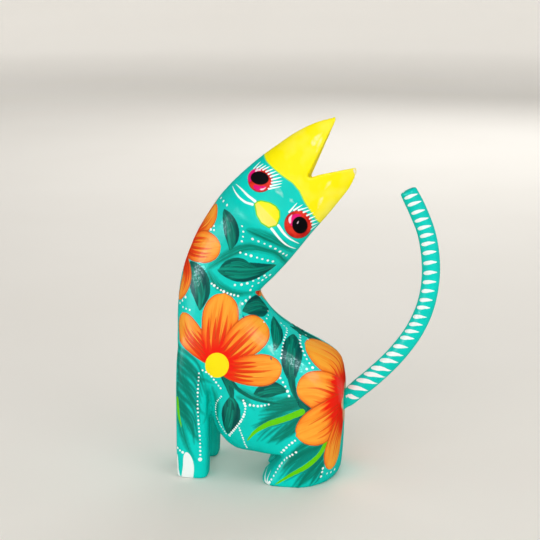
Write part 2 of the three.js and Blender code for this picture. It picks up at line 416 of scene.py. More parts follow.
def ease(mesh):
    """Smooths without shrinking: rounds move every vertex towards the mean of its neighbours and back."""
    start = read(mesh.vertices, "co") / MM
    edges = read(mesh.edges, "vertices", 2, np.int32)
    one, other = np.concatenate([edges, edges[:, ::-1]]).T
    count = len(start)
    links = np.bincount(one, minlength=count)[:, None]
    points = start.copy()
    for amount in EASING * EASING_PASSES:
        total = np.stack([np.bincount(one, points[other, k], count) for k in range(3)], 1)
        points += amount * (total / links - points)
    hold = np.clip(1 - (start[:, 2:3] - SOLE[0]) / SOLE[1], 0, 1)
    points += hold * (start - points)
    mesh.vertices.foreach_set("co", (held_in(points, "cat") * MM).ravel())
    mesh.update()


def carve_cat():
    """The CAD solid of the cat, its loose triangles joined, with an even and eased skin."""
    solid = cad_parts["cat"].data.copy()
    mend(solid, lambda shape: bmesh.ops.remove_doubles(shape, verts=shape.verts, dist=WELD))
    skin = even_skin(solid)
    ease(skin)
    skin.name = "painted_cat"
    return link_piece("painted_cat", skin)


def tail_keys():
    """Points (x, z, radius) of the tail's middle line in this frame, from its peg's end to the sawn tip."""
    x, z = TAIL_ROOT
    across, up = math.cos(TAIL_ANGLE), math.sin(TAIL_ANGLE)
    places = [(-PEG_LENGTH, PEG_RADIUS), (-RIM_DEPTH, PEG_RADIUS), (SHOULDER, SHOULDER_RADIUS)]
    peg = [(x + across * along, z + up * along, radius) for along, radius in places]
    return np.array(peg + TAIL_LINE) - np.array([CENTRE_X, 0, 0])


def smooth_line(keys, count):
    """Centripetal Catmull-Rom through keys: each stretch's time grows with the root of its length."""
    ends = np.vstack([2 * keys[0] - keys[1], keys, 2 * keys[-1] - keys[-2]])
    gaps = np.linalg.norm(np.diff(ends[:, :2], axis=0), axis=1) ** 0.5
    times = np.concatenate([[0], np.cumsum(gaps)])
    line = []
    for share in np.linspace(0, 1, count):
        place = share * (len(keys) - 1)
        k = min(int(place), len(keys) - 2)
        knots = times[k : k + 4]
        level = list(ends[k : k + 4])
        t = knots[1] + (place - k) * (knots[2] - knots[1])
        for span in (1, 2):
            level = [mix(level[n], level[n + 1], knots[n], knots[n + span], t) for n in range(4 - span)]
        line.append(mix(level[0], level[1], knots[1], knots[2], t))
    return np.array(line)


def mix(low, high, start, end, t):
    """The value at a time t, on the straight way from low at the start to high at the end."""
    return (end - t) / (end - start) * low + (t - start) / (end - start) * high


def bend_tail():
    """A ring of the stick's radius carried along its bent middle line, with slight knots and a sawn end."""
    line = smooth_line(tail_keys(), TAIL_RINGS)
    ahead = np.gradient(line[:, :2], axis=0)
    ahead /= np.linalg.norm(ahead, axis=1)[:, None]
    turn = np.linspace(0, 2 * np.pi, TAIL_SIDES, endpoint=False)
    share = np.linspace(0, 1, TAIL_RINGS)[:, None]
    uneven = 1 - KNOT_DEPTH * (1 + np.sin(share * KNOT_PACE + 2 * np.sin(turn))) * (share > KNOTS_FROM)
    reach = line[:, 2:3] * uneven
    x = line[:, 0:1] + ahead[:, 1:2] * np.cos(turn) * reach
    z = line[:, 1:2] - ahead[:, 0:1] * np.cos(turn) * reach
    rings = np.stack([x, np.sin(turn) * reach, z], 2)
    middle = np.array([line[-1, 0], 0, line[-1, 1]])
    onward = np.array([ahead[-1, 0], 0, ahead[-1, 1]])
    rounded = [rings[-1] + (middle - rings[-1]) * less + onward * out for out, less in TAIL_END]
    rings = np.concatenate([rings, np.array(rounded)])
    count = len(rings)
    faces = ring_faces(count, TAIL_SIDES) + [list(range((count - 1) * TAIL_SIDES, count * TAIL_SIDES))]
    tail = new_piece("painted_tail", held_in(rings.reshape(-1, 3), "tail"), faces)
    mend(tail.data, lambda shape: bmesh.ops.recalc_face_normals(shape, faces=shape.faces))
    return tail


# Painting. Each stroke of a table is its width and then the points of its middle line, in pixels of the
# photograph where no other unit is named. Widths that stand alone are millimetres.

# Flowers: each petal runs from the flower's heart through its middle to its tip

BREAST_HEART = (217.0, 365.3)
BREAST_HEART_RADII = (11.9, 12.5)  # pixels
BREAST_ROOT = (217, 365)
BREAST_PETALS = [
    (27, (198, 345), (187, 330), (183, 312.5)),
    (35, (216.5, 345), (219.5, 322), (224.5, 293.5)),
    (35, (230, 354), (249, 336), (264, 321)),
    (31, (234, 370), (258, 370.5), (281.8, 368)),
]
NECK_PETALS = [
    (22, (184, 243), (197, 232), (208, 220), (216.5, 204)),
    (31, (184, 243), (196, 246), (208, 247), (220.5, 246)),
    (17, (184, 252), (186, 268), (184, 284), (179, 299)),
]
# Seen from the front, in millimetres: the petal and heart that the photograph doesn't show
NECK_FRONT_PETAL = (11, (0, 98), (0, 108), (0, 119))
NECK_HEART = (0, 98)
# After a common root behind, by the tail's hole. Embers are how much further the red of each petal runs.
RUMP_ROOT = (1, 31)
RUMP_PETALS = [
    (50, (343, 379), (332.5, 356.5), (305, 343.5)),
    (40, (331, 394.5), (314, 389.5), (296.5, 390)),
    (38, (336, 413), (317, 427.5), (296.5, 436)),
    (35, (341, 421), (336, 442), (330.4, 469.3)),
]
RUMP_EMBERS = [11, 16, 16, 10]
RUMP_FAR_PETAL = (32, (340, 386), (325, 371), (305, 357))
RUMP_FAR_EMBERS = [9, 16, 16, 10]
# Orange that shows below the chin, with no red on it
CREASE_PETAL = (6, (256, 291.6), (258, 292.4), (261, 294))
CREASE_EMBERS = [-20]
# The far side's own flower: its heart in mirrored pixels, and direction, length and width of each petal
FAR_HEART = (229, 331)
FAR_PETALS = [(-52, 50, 29), (8, 44, 30), (66, 42, 29), (126, 44, 30), (188, 40, 28), (249, 43, 29)]
FAR_PETAL_PLACES = (0, 0.35, 0.7, 1)
PETAL_NOTED = 0.5  # how far outside a petal its places are kept
HEART_RADIUS = 4.6
BARE_RADIUS = 6.0  # of the ring of bare wood round the tail's hole
BARE_DEPTH = 12  # how far along the hole's line the ring reaches
BARE_SPOT = (342.7, 403.0)  # a patch of bare wood beside the ring
BARE_SPOT_WIDTH = 4.8
# Red wedges and thin brown lines on a petal: the share of its half width at which each runs and how far it
# may stray from there, the shares of the petal's length where it starts and ends, and its width at its root
WEDGE_LANES = (-0.66, -0.36, -0.06, 0.24, 0.56)
WEDGE_STRAY = 0.06
WEDGE_START = 0.1
WEDGE_ENDS = (0.65, 0.95)
WEDGE_LOSS = 0.25  # how much sooner a wedge ends at the petal's sides
WEDGE = 2.2
HAIRLINE_LANES = (-0.5, -0.16, 0.14, 0.5)
HAIRLINE_STRAY = 0.1
HAIRLINE_STARTS = (0.2, 0.4)
HAIRLINE_RUNS = (0.3, 0.45)
HAIRLINE = 0.45
STREAK_POINTS = 7


def paint_petal(canvas, points, width, ember):
    """One petal: body, places along and across, red wedges and brown lines. Ember lengthens the red."""
    spine, picked, edge, along, side = canvas.stroke("petal", points, width, petal_width)
    fold = canvas.layer("fold")
    covers = (edge < 0) | (edge < fold[picked])
    fold[picked[covers]] = np.abs(edge[covers])
    canvas.layer("fold side")[picked[covers]] = edge[covers]
    on_top = edge < PETAL_NOTED
    over = picked[on_top]
    canvas.layer("petal along", 0)[over] = along[on_top]
    canvas.layer("petal reach", 0)[over] = along[on_top] * spine_length(spine) - ember
    canvas.layer("petal across", 0)[over] = (side / (width / 2))[on_top]
    faces, distance, along, _, _ = canvas.measure(*spine, width / 2 + MARGIN, on_faces=True)
    under = faces[distance < width / 2 * petal_width(along)]
    canvas.wipe("wedge", under)
    canvas.wipe("hairline", under)
    for lane in WEDGE_LANES:
        lane += ORDER.uniform(-WEDGE_STRAY, WEDGE_STRAY)
        end = ORDER.uniform(*WEDGE_ENDS) - WEDGE_LOSS * abs(lane)
        paint_streak(canvas, "wedge", spine, width, lane, (WEDGE_START, end), WEDGE)
    for lane in HAIRLINE_LANES:
        lane += ORDER.uniform(-HAIRLINE_STRAY, HAIRLINE_STRAY)
        start = ORDER.uniform(*HAIRLINE_STARTS)
        end = start + ORDER.uniform(*HAIRLINE_RUNS)
        paint_streak(canvas, "hairline", spine, width, lane, (start, end), HAIRLINE)


def paint_streak(canvas, kind, spine, width, lane, stretch, thickness):
    """A thin stroke that keeps its share of a petal's width between two places along it, and thins out."""
    points, normals = spine
    share = np.linspace(*stretch, STREAK_POINTS)
    where = share * (len(points) - 1)
    low = np.minimum(where.astype(int), len(points) - 2)
    part = (where - low)[:, None]
    at = points[low] * (1 - part) + points[low + 1] * part
    ahead = points[low + 1] - points[low]
    across = np.cross(normals[low], ahead / np.linalg.norm(ahead, axis=1)[:, None])
    at = at + across * (lane * width / 2 * petal_width(share))[:, None]
    canvas.line(kind, list(at), thickness, taper_width)


def paint_flower(canvas, view, petals, embers=None, root=(), heart=None):
    """Petals laid one over another from a root on the wood, if they share one, and then a yellow heart."""
    for (width, *points), ember in zip(petals, embers or [0] * len(petals)):
        paint_petal(canvas, list(root) + view(*points), width * PIXEL, ember)
    if heart is not None:
        canvas.stroke("heart", [heart], 2 * HEART_RADIUS)


def paint_flowers(canvas):
    """Neck and rump flowers wrap from side to side. The breast flower has a fellow on the far side."""
    near, far = canvas.near, canvas.far
    width, *points = NECK_FRONT_PETAL
    paint_petal(canvas, canvas.side("front", *points), width, 0)
    paint_flower(canvas, far, NECK_PETALS)
    paint_flower(canvas, near, NECK_PETALS, heart=canvas.side("front", NECK_HEART)[0])
    behind = canvas.side("rear", RUMP_ROOT)
    paint_flower(canvas, far, [RUMP_FAR_PETAL] + RUMP_PETALS[1:], RUMP_FAR_EMBERS, behind)
    paint_flower(canvas, near, RUMP_PETALS, RUMP_EMBERS, behind)
    petals = []
    for angle, length, width in FAR_PETALS:
        ahead = np.array([math.cos(math.radians(angle)), math.sin(math.radians(angle))])
        points = [tuple(np.array(FAR_HEART) + ahead * length * share) for share in FAR_PETAL_PLACES]
        petals.append([width] + points)
    paint_flower(canvas, far, petals, heart=far(FAR_HEART)[0])
    paint_flower(canvas, near, BREAST_PETALS, root=near(BREAST_ROOT))
    paint_flower(canvas, near, [CREASE_PETAL], CREASE_EMBERS)
    canvas.ellipse("heart", BREAST_HEART, BREAST_HEART_RADII)


def paint_bare_ring(canvas):
    """Wood left bare round the tail's hole: distance from the line of the hole less the ring's radius."""
    off = canvas.points - np.array([TAIL_ROOT[0] - CENTRE_X, 0, TAIL_ROOT[1]])
    along = off @ np.array([math.cos(TAIL_ANGLE), 0, math.sin(TAIL_ANGLE)])
    away = np.sqrt(np.clip((off**2).sum(1) - along**2, 0, None))
    canvas.layer("bare")[:] = np.where(np.abs(along) < BARE_DEPTH, away - BARE_RADIUS, FAR)
    canvas.stroke("bare", canvas.near(BARE_SPOT), BARE_SPOT_WIDTH)


# Leaves and stems

LEAVES = {
    "behind the neck flower": (17, (224, 209), (230, 224), (232, 238), (230, 251)),
    "under the chin": (20, (217, 270), (232, 272), (252, 271.5), (277, 264.5)),
    "its upper lobe": (10.5, (220, 267.5), (230, 264), (241, 263.2), (255, 268)),
    "on the shoulder": (22, (190, 261), (196, 274), (200.5, 292), (200, 311)),
    "over the breast flower": (22, (268.5, 308.5), (262, 306), (254, 307), (242, 311)),
    "right of the breast flower": (13, (273.5, 316), (276.5, 328), (277, 340), (274, 352)),
    "before the rump flower": (21, (294, 334), (292.5, 349), (291, 366), (292, 386)),
    "under the breast flower": (15, (253.5, 394), (264, 391), (275, 389), (288, 391.5)),
    "at the stem": (20.5, (231.4, 395.5), (231.4, 406), (230, 419), (227.2, 434)),
}
FAR_LEAVES = {
    "up the neck": (19, (240, 286), (238, 272), (241, 258), (250, 244)),
    "under the jaw": (15, (262, 262), (272, 252), (279, 243), (284, 232)),
    "head, to the ears": (15, (268, 216), (272, 205), (279, 196), (290, 191)),
    "head, upright": (16, (266, 216), (260, 205), (257, 192), (259, 178)),
    "head, to the front": (15, (264, 219), (252, 214), (241, 213), (230, 217)),
    "shoulder": (18, (200, 300), (196, 286), (199, 271), (208, 258)),
    "flank, upper": (14, (276, 352), (284, 343), (292, 337), (303, 331)),
    "flank, lower": (13, (268, 384), (277, 378), (286, 376), (296, 379)),
    "belly": (17, (236, 386), (236, 400), (233, 414), (229, 430)),
}
STEMS = {
    "down from the breast flower": (12, (226, 375), (229.5, 386), (233, 402)),
    "towards the rump": (4.5, (229, 378), (240, 391), (262, 401), (302, 405)),
    "before the rump flower": (7, (291.5, 380), (294, 392), (300, 406)),
}
MIDRIBS = {  # light lines on some leaves
    "chin leaf": (2.6, (212, 269.6), (230, 268.8), (248, 269.4), (264, 268.4)),
    "chin leaf, low": (2.0, (228, 276), (244, 277.6), (258, 274.4)),
    "shoulder leaf": (2.4, (199, 309), (199.6, 298), (198, 288)),
    "shoulder leaf, side": (1.6, (202, 304), (204.4, 294), (205, 285)),
    "neck leaf": (2.4, (230.6, 250), (229.4, 240), (227, 228)),
    "stem leaf": (1.8, (229, 397.5), (233.6, 401), (235, 408)),
    "stem leaf, low": (1.6, (228.4, 428), (231.6, 419), (232, 411)),
    "hip streak": (2.2, (296, 399), (284, 402), (272, 402)),
}
# In millimetres: seen from the front, (across, height), and from above, (along, across)
FRONT_LEAVES = {
    "left of the chest": (7.5, (0, 80), (6, 73), (9, 64), (8, 55)),
    "right of the chest": (6.5, (0, 77), (-4, 70), (-7, 63), (-7, 56)),
}
BACK_LEAVES = {
    "down the back": (6.5, (-8, 0), (-2, 1.5), (4, 1.5), (11, 0)),
}
# Three fine light veins of a leaf: how far beside its middle each runs, and between which places along it
VEINS = [(-0.12, (0.15, 0.85)), (0.22, (0.35, 0.8)), (-0.45, (0.3, 0.7))]
VEIN = 0.45


def paint_leaf(canvas, points, width):
    spine, *_ = canvas.stroke("leaf", points, width, leaf_width, notes=True)
    for lane, stretch in VEINS:
        paint_streak(canvas, "vein", spine, width, lane, stretch, VEIN)


def paint_leaves(canvas):
    for view, leaves in ((canvas.near, LEAVES), (canvas.far, FAR_LEAVES)):
        for width, *points in leaves.values():
            paint_leaf(canvas, view(*points), width * PIXEL)
    for towards, leaves in (("front", FRONT_LEAVES), ("back", BACK_LEAVES)):
        for width, *points in leaves.values():
            paint_leaf(canvas, canvas.side(towards, *points), width)
    lay(canvas.stroke, "leaf", canvas.near, STEMS.values(), taper_width, notes=True)


# Brushwork: broad bands, among them painted shade under the chin, and on hip, haunch and leg long leaves of
# brush marks with a lime midrib

NEAR_BANDS = {
    # Painted shade: the band under the chin darkens it where the muzzle shades it
    "under the chin": (11, (246, 229.5), (262, 235), (280, 243), (293, 252)),
    "arch over the chin leaf": (10, (206, 270), (222, 258), (243, 248), (262, 249), (280, 256), (289, 265)),
    "round the chin leaf": (9, (208, 270), (218, 285), (236, 293.5), (256, 291)),
    # A darker band along the top edge of the back
    "along the back": (7, (268, 301), (278, 312), (290, 322), (304, 331)),
    "breast one": (6, (236, 396), (248, 402), (254, 410)),
    "breast two": (7, (212, 386), (217, 402), (217, 418), (222, 434)),
    "behind the heart": (7, (240, 388), (256, 397), (274, 399), (290, 396)),
}
# The bands on both sides, from the upper to the lower
HIP_BANDS = [
    (16, (309, 403), (290, 404), (274, 407), (260, 412)),
    (9, (303, 409), (284, 413), (266, 420), (254, 430)),
    (13, (307, 413), (298, 423), (284, 434), (266, 443)),
]
HAUNCH_BANDS = [
    (15, (329, 438), (310, 446), (294, 457), (280, 473)),
    (14, (330, 445), (323, 460), (311, 474), (294, 488)),
]
LEG_BANDS = [
    (10, (178, 345), (186, 364), (198, 378), (214, 384)),
    (10, (178, 358), (184, 382), (192, 402), (206, 416)),
    (10, (177.5, 380), (182, 406), (190, 428), (203, 446)),
    (8, (177.5, 408), (181, 426), (187, 446), (196, 462)),
    (6, (205, 384), (208, 396), (207, 412), (203, 424)),
]
# Many thin strokes: their width, number and bow, and the two lines that their starts and ends lie evenly on
FANS = {
    "hip, over the lime": (3.6, 6, -0.04, [(303, 402), (272, 417)], [(262, 406), (250, 430)]),
    "leg": (4.6, 11, -0.12, [(178.5, 346), (178.5, 412)], [(205, 384), (197, 452)]),
}
FAN_STRAY = 0.03
FAN_RUNS = (0.8, 1.05)
HIP_FEATHERS = [
    (6, (302, 416), (293, 425), (286, 435), (276, 444.5)),
    (3.6, (304, 417), (297, 427), (289, 437)),
    (3.2, (290, 421), (281, 430), (275, 436), (268, 443)),
    (2.6, (284, 424), (273, 431), (261, 441)),
    (2.0, (273, 426), (264, 433), (257, 441)),
]
HAUNCH_FEATHERS = [
    (9, (324, 441), (315, 451), (305, 459), (293, 469), (284, 478)),
    (6, (318, 446), (303, 454), (291, 460.5), (283, 468)),
    (4.5, (318, 450), (305, 460), (292, 472)),
    (2.6, (302, 458), (290, 466), (279, 479)),
    (6, (324, 453), (313, 467), (304, 478), (297, 488)),
    (6, (324, 460), (317, 474), (309, 487)),
    (3.6, (311, 466), (301, 476), (292, 487)),
    (3.4, (323, 467), (319, 478), (314, 487)),
]
LIME_EDGINGS_AND_SHADOWS = {  # dark lines along the lime strokes, painted shadow under their lower edges
    "hip": (2.6, (306, 414.5), (297, 418), (286, 423), (270, 427), (258, 435)),
    "haunch": (2.6, (328, 446), (322, 456), (307, 468.5), (284, 482)),
    "haunch, above": (2.4, (324, 440.5), (317, 453), (300, 467)),
}
DARK_PATCHES = {
    "end of the lime stroke": (9, (303, 404), (308, 409), (303, 415)),
    "end of the hind stroke": (5.4, (322.5, 442), (326, 439.8), (328, 443)),
}
LIME_STROKES = {
    "hip": (6.0, (301.9, 411.9), (286, 418.4), (268, 424.4), (255, 432), (246.2, 442)),
    "haunch": (5.2, (325.8, 443), (319.6, 454.4), (307, 466), (291, 475), (274, 485)),
    "leg": (3.4, (177.2, 398), (178.2, 412), (180, 421), (182.2, 430)),
}


def fan(width, count, bow, starts, ends):
    """Marks from places along one line to places along another, bowed sideways by a share of their length."""
    starts, ends = np.array(starts, float), np.array(ends, float)
    for share in np.linspace(0, 1, count):
        share = np.clip(share + ORDER.uniform(-FAN_STRAY, FAN_STRAY), 0, 1)
        a = starts[0] + share * (starts[1] - starts[0])
        run = ends[0] + share * (ends[1] - ends[0]) - a
        b = a + run * ORDER.uniform(*FAN_RUNS)
        middle = (a + b) / 2 + bow * np.array([-run[1], run[0]])
        yield width, tuple(a), tuple(middle), tuple(b)


def paint_brushwork(canvas):
    for view in (canvas.near, canvas.far):
        lay(canvas.stroke, "leaf", view, DARK_PATCHES.values(), even_width, notes=True)
        if view == canvas.near:
            lay(canvas.stroke, "band", view, NEAR_BANDS.values(), flick_width, notes=True)
        lay(canvas.stroke, "band", view, HIP_BANDS + HAUNCH_BANDS + LEG_BANDS, flick_width, notes=True)
        for plume in FANS.values():
            lay(canvas.line, "feather", view, fan(*plume), taper_width, step=1.2)
        brushed_lines_and_shadows = HIP_FEATHERS + HAUNCH_FEATHERS + list(LIME_EDGINGS_AND_SHADOWS.values())
        lay(canvas.line, "feather", view, brushed_lines_and_shadows, flick_width, step=1.2)
        lay(canvas.stroke, "lime", view, LIME_STROKES.values(), lime_width)
    lay(canvas.line, "vein", canvas.near, MIDRIBS.values(), flick_width)


# Face, worn places and claws

EAR_EDGE = [
    (256, 143), (264.7, 155), (267, 161), (274.7, 168.8), (284, 176.5), (293, 182.6), (300, 191),
    (305, 201.7), (311, 211), (319, 221.6), (331, 238),
]
EAR_EDGE_REACH = 6  # how many of its first and last steps the ears' edge is carried past the wood
# Corners, in millimetres seen from the side, that close the ears' outline above the cat
ABOVE_EARS = [(120.0, 60.0), (120.0, 260.0), (-60.0, 260.0), (-60.0, 150.0)]
NOSE = [
    (254.4, 204), (256.5, 201.6), (261, 200.5), (270, 202.5), (276, 206), (279.6, 211), (280, 217),
    (277, 225.5), (268.6, 227.8), (261, 223), (256.5, 215),
]
# Painted highlight: below and left of this line the nose is painted paler, on its lit facet
NOSE_RIDGE = [(258.7, 203.5), (278.6, 224.2)]
NOSE_SEEN = 0.1  # the same as SEEN, for the nose
# Centre and radii of each eye's ring, and centre, radii and turn of its pupil
EYES = [
    ((260.4, 180.1), (12.3, 12.1), (259.7, 178.1), (9.2, 6.6), 8),
    ((298.2, 224.3), (13.9, 14.0), (299.9, 225.1), (7.7, 8.6), -15),
]
MAGENTA = {
    "left, upper": (5.0, (250, 182), (250.4, 174.5), (254.5, 170.6), (263, 170.2)),
    "left, lower": (4.6, (253.5, 185.5), (259, 188.3), (266.5, 186.2)),
    "right, upper": (5.2, (292.3, 226), (292, 220), (295.4, 216.2), (302, 215)),
}
# The crescents are the eyes' own pale paint; the short stroke on the right pupil is a painted reflection
GLEAMS = {
    "left, upper": (2.6, (255, 171.4), (257.6, 169.9), (261, 170.4)),
    "left, lower": (1.5, (259.8, 189.4), (263, 189.2), (266, 187.3)),
    "right": (2.6, (290.2, 223.5), (289.9, 218.5), (292, 214.6)),
    "painted glint on the right pupil": (1.0, (297.2, 223.8), (298.6, 221)),
}
LASH = 1.9  # pixels, like the strokes of a table
LASHES_LEFT = [
    ((254, 168.4), (260.8, 161.3)), ((257.2, 168), (263.6, 163.6)), ((260.2, 169), (266.6, 165)),
    ((263.2, 169.8), (270, 166.2)), ((266.2, 171.6), (273.8, 168.6)), ((268.6, 174), (277, 171)),
    ((270.6, 176.6), (280, 173.6)), ((271.9, 179.6), (282, 177)), ((271.8, 182.6), (282.8, 180.8)),
    ((270.6, 186), (282.2, 183.4)), ((268.8, 188.8), (281.4, 186.4)),
]
LASHES_RIGHT = [
    ((289.3, 212), (297.4, 202.6)), ((294, 210.2), (303, 204.4)), ((298.6, 210.2), (308.4, 207.2)),
    ((303.6, 212.2), (310.9, 209.6)), ((307, 215.4), (313.6, 212.6)), ((309.8, 218.6), (315.6, 216)),
    ((311.2, 221.6), (317.6, 219.4)), ((312, 224.8), (319, 222.4)), ((311.4, 229), (317.6, 224.6)),
]
WHISKERS = {
    "left, upper": (2.7, (255, 201.2), (248, 195.6), (241.5, 189), (235.8, 183.9)),
    "left, lower": (2.5, (252.4, 204.4), (244.5, 201.6), (237, 194.6), (232.4, 185.6)),
    "right, upper": (2.7, (278.4, 225.6), (283.6, 233), (290, 238.8), (299.5, 243.6)),
    "right, lower": (2.5, (271.6, 228.8), (279, 238), (287, 245.2), (296.5, 248.6)),
}
WORN = {  # paint rubbed off the tips of the ears
    "ear one": (3.4, (334.6, 116.6), (336.4, 118.4)),
    "ear two": (2.6, (353.6, 168.6), (355.2, 172.4), (355, 175)),
}
PAINTED_HIGHLIGHTS = {  # painted highlights: pale strokes that stand in for gloss on the varnish
    "ear one, front": (2.0, (283, 140), (289, 136.6), (294, 132.6)),
    "ear one, middle": (4.5, (312, 146), (316, 139), (322, 133)),
    "ear one, rear": (2.0, (322, 137), (318.5, 145), (316.5, 152)),
    "ear two, upper": (2.6, (331, 181), (328, 184.6), (325, 189)),
    "ear two, lower": (3.0, (323, 197), (320, 202), (318, 208)),
    "forehead": (4.2, (275, 188.4), (280, 192.4), (283, 197)),
    "brow": (2.6, (290, 199), (294, 202.6)),
    "breast": (3.6, (240, 318), (239, 309), (241, 301)),
    "beside the leaf": (3.2, (268, 345), (271.5, 350), (274, 355)),
}
INK_SPOTS = {
    "beside the leaf": (3.4, (242.4, 317), (244.4, 316.2)),
    "on the petal": (1.6, (270.6, 356.6), (271.6, 360.4)),
}
HIND_CLAWS = {
    "outer": (2.2, (261.4, 485.2), (265, 476), (268.6, 465)),
    "inner": (2.0, (264.8, 485.4), (268, 477), (271.6, 469)),
}
NEAR_CLAW = (11.6, (187.4, 477.5), (188.4, 466), (186.4, 452.2))
FRONT_CLAWS = [-17.3, -13.7, -10.2]  # how far the other claws stand from the middle plane, across a paw
CLAW_FOOT = 0.3
CLAW_HEIGHT = 10.5
CLAW_WIDTH = 1.9


def side_of(points, a, b):
    """Signed distance of points in a plane from the line through a and b."""
    a, b = np.array(a, float), np.array(b, float)
    run = (b - a) / np.linalg.norm(b - a)
    off = points - a
    return off[:, 0] * run[1] - off[:, 1] * run[0]


def outline_distance(points, corners):
    """Signed distance of points in a plane from a closed outline, negative inside it."""
    corners = np.array(corners, float)
    ends = np.roll(corners, -1, axis=0)
    run = ends - corners
    off = points[:, None] - corners[None]
    share = np.clip((off * run).sum(2) / (run**2).sum(1), 0, 1)
    distance = np.linalg.norm(off - share[..., None] * run, axis=2).min(1)
    crossing = (corners[:, 1] > points[:, 1:2]) != (ends[:, 1] > points[:, 1:2])
    with np.errstate(divide="ignore", invalid="ignore"):
        at = corners[:, 0] + (points[:, 1:2] - corners[:, 1]) * run[:, 0] / run[:, 1]
    inside = (crossing & (points[:, 0:1] < at)).sum(1) % 2 == 1
    return np.where(inside, -distance, distance)


def paint_ears(canvas):
    """Yellow inside an outline seen from the side: the ears' edge carried on straight, and far corners."""
    edge = np.array(canvas.near(*EAR_EDGE[1:-1]))[:, [0, 2]]
    before, after = edge[0] - edge[1], edge[-1] - edge[-2]
    first = edge[0] + (1 + EAR_EDGE_REACH) * before
    last = edge[-1] + (1 + EAR_EDGE_REACH) * after
    outline = np.vstack([first, edge, last, ABOVE_EARS])
    canvas.layer("ears")[:] = outline_distance(canvas.points[:, [0, 2]], outline)


def paint_face(canvas):
    near, far = canvas.near, canvas.far
    paint_ears(canvas)
    nose = outline_distance(canvas.pixels, NOSE) * PIXEL
    canvas.layer("nose")[:] = np.where(canvas.normals[:, 1] < NOSE_SEEN, nose, FAR)
    canvas.layer("nose ridge")[:] = side_of(canvas.pixels, *NOSE_RIDGE) * PIXEL
    for centre, ring, pupil_centre, pupil, turn in EYES:
        canvas.ellipse("eye", centre, ring)
        canvas.ellipse("pupil", pupil_centre, pupil, turn)
    lay(canvas.stroke, "magenta", near, MAGENTA.values(), flick_width)
    lay(canvas.line, "gleam", near, GLEAMS.values(), flick_width, step=0.3)
    lay(canvas.line, "white", near, [(LASH, *ends) for ends in LASHES_LEFT + LASHES_RIGHT], taper_width)
    lay(canvas.line, "white", near, WHISKERS.values(), taper_width)
    for view in (near, far):
        lay(canvas.line, "white", view, HIND_CLAWS.values(), taper_width)
    for view in (near, far):
        lay(canvas.stroke, "claw", view, [NEAR_CLAW], blade_width)
    for across in FRONT_CLAWS:
        for y in (across, -across):
            line = canvas.side("front", (y, CLAW_FOOT), (y, CLAW_HEIGHT / 2), (y, CLAW_HEIGHT))
            canvas.stroke("claw", line, CLAW_WIDTH, blade_width)
    # Worn ear tips, painted highlights and ink spots, as thin strokes
    for name, marks in (("worn", WORN), ("sheen", PAINTED_HIGHLIGHTS), ("ink", INK_SPOTS)):
        lay(canvas.line, name, near, marks.values(), flick_width)


# Lines of white dots: each has its number of dots and the points of its line

DOT = 1.02  # diameter in millimetres
SMALL_DOT = 0.78
BIG_DOT = 1.7
BIG_DOTS = [(265.8, 484.8), (200.1, 459.4)]
DOT_STRAY = 0.09
DOT_SHARES = (0.75, 1.2)  # least and most of a dot's usual size
DOT_LINES = {
    "cheek": (3, (221, 198), (223.4, 201), (227, 205)),
    "between the neck petals": (3, (214, 226), (210.4, 230), (214, 230)),
    "neck": (4, (242, 226), (243.2, 230.5), (243.2, 235.4), (241.8, 241.5)),
    "under the chin": (8, (252.5, 239), (264, 243.5), (276, 249), (286.5, 255.3)),
    "over the chin leaf": (7, (240.3, 252.6), (252, 256), (262, 259), (272.9, 261.4)),
    "under the chin leaf": (6, (235, 285), (245, 284), (255, 280), (264.7, 275.5)),
    "spur": (2, (252.5, 286), (250.5, 290)),
    "outer row": (4, (258.5, 283), (264, 279), (270, 275)),
    "over the breast flower": (9, (211.6, 283.6), (220, 289.6), (228.8, 293.6), (238, 296)),
    "beside the petal": (3, (242, 304), (246, 300.5), (250, 297)),
    "breast corner": (3, (185.5, 297), (183, 300), (180, 303)),
    "breast corner, lower": (3, (183, 307), (187, 309), (190, 310)),
    "leg": (22, (199, 373), (197.6, 398), (198.4, 421), (199.9, 438), (200.3, 455)),
    "beside the leg": (8, (202.6, 370.3), (209, 374), (215, 381), (220.8, 388.6)),
    "arc on the breast": (18, (221.3, 396.4), (216, 404), (216.4, 416), (226, 433.4)),
    "round the stem leaf": (17, (243.3, 400.6), (245.4, 408), (241.5, 420), (229.5, 435.4)),
    "right of it": (10, (239.2, 428), (242.8, 437.7), (246.9, 447.5)),
    "level": (6, (250, 405), (259, 406.2), (268.7, 404.5)),
    "under the right petal": (5, (280.3, 378), (284, 384), (287, 390), (289, 396)),
    "down the back": (13, (281, 323), (287, 329), (283.5, 342), (281, 358)),
    "behind the upper petal": (4, (268, 311), (268, 316), (264, 322)),
    "before the rump petals": (10, (300, 335), (300.2, 343), (303, 351), (307, 359.5), (312.7, 367.7)),
    "beside it": (2, (306, 335), (308, 339.6)),
    "spot": (1, (306.7, 369)),
    "hind, upper": (6, (295, 440.7), (288, 446), (281.6, 452.4)),
    "hind, lower": (12, (296, 452.3), (283.7, 460.7), (275, 473.6), (269.4, 482.4)),
    "heel": (3, (323, 468), (321, 476.5)),
    "heel, rear": (3, (327, 473.5), (331, 472.2), (334.6, 469.4)),
    "over the claws": (3, (177.6, 447.8), (179.5, 450), (182.7, 452.3)),
}
SMALL_DOT_LINES = (
    "leg", "beside the leg", "arc on the breast", "down the back", "right of it", "behind the upper petal",
)
BOTH_SIDES = ("cheek", "leg", "hind, upper", "hind, lower", "heel", "heel, rear", "under the right petal")
